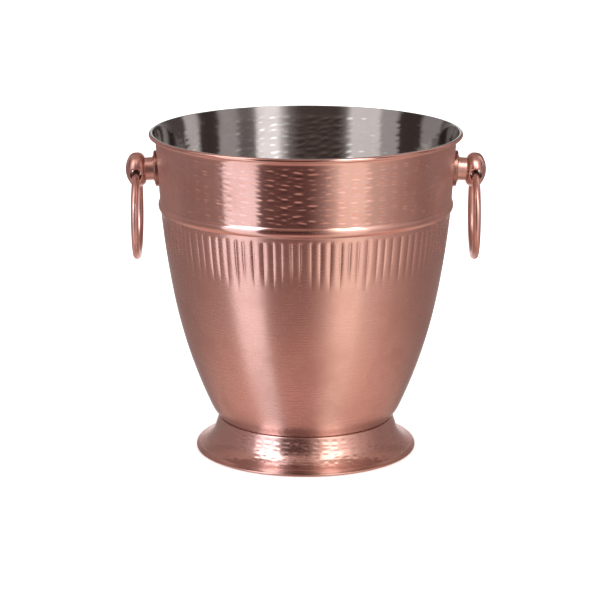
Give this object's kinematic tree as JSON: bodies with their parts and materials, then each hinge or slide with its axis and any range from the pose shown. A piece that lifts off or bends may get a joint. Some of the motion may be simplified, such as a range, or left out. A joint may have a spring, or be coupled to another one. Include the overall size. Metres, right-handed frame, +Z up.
{
  "type": "ice bucket",
  "caption": "Footed tapering metal ice bucket with a rolled rim, hammered collar, fluted band and a loose ring handle on each side.",
  "frame": {"origin": "centre of the circle on which the foot stands, on the floor plane", "axes": "+Z up along the bowl's axis; the two ring handles stand on +X (right) and -X (left); the front is -Y"},
  "size_m": [0.2532, 0.22, 0.229],
  "materials": {
    "brushed_copper": "satin copper plate outside, bright nickel inside",
    "hammered_copper": "hammered bright copper plate",
    "copper_knob": "polished copper plate on cast brass",
    "copper_plate": "polished copper plate",
    "copper_ring": "polished copper plate on steel wire",
    "steel_fastener": "plain bright"
  },
  "bodies": {
    "bucket": {"bowl": "brushed_copper", "foot": "hammered_copper", "foot_stud": "steel_fastener", "foot_washer": "steel_fastener", "foot_lock_washer": "steel_fastener", "foot_nut": "steel_fastener", "left_knob": "copper_knob", "left_rosette": "copper_plate", "left_screw": "steel_fastener", "left_washer": "steel_fastener", "left_lock_washer": "steel_fastener", "right_knob": "copper_knob", "right_rosette": "copper_plate", "right_screw": "steel_fastener", "right_washer": "steel_fastener", "right_lock_washer": "steel_fastener"},
    "left_ring": {"left_ring": "copper_ring"},
    "right_ring": {"right_ring": "copper_ring"}
  },
  "joints": [
    {"name": "left_ring_swing", "type": "hinge", "parent": "bucket", "child": "left_ring", "pos_m": [-0.11885, 0, 0.19931], "axis": [0, 1, 0], "range_deg": [-16, 195]},
    {"name": "right_ring_swing", "type": "hinge", "parent": "bucket", "child": "right_ring", "pos_m": [0.11885, 0, 0.19931], "axis": [0, -1, 0], "range_deg": [-16, 195]}
  ]
}
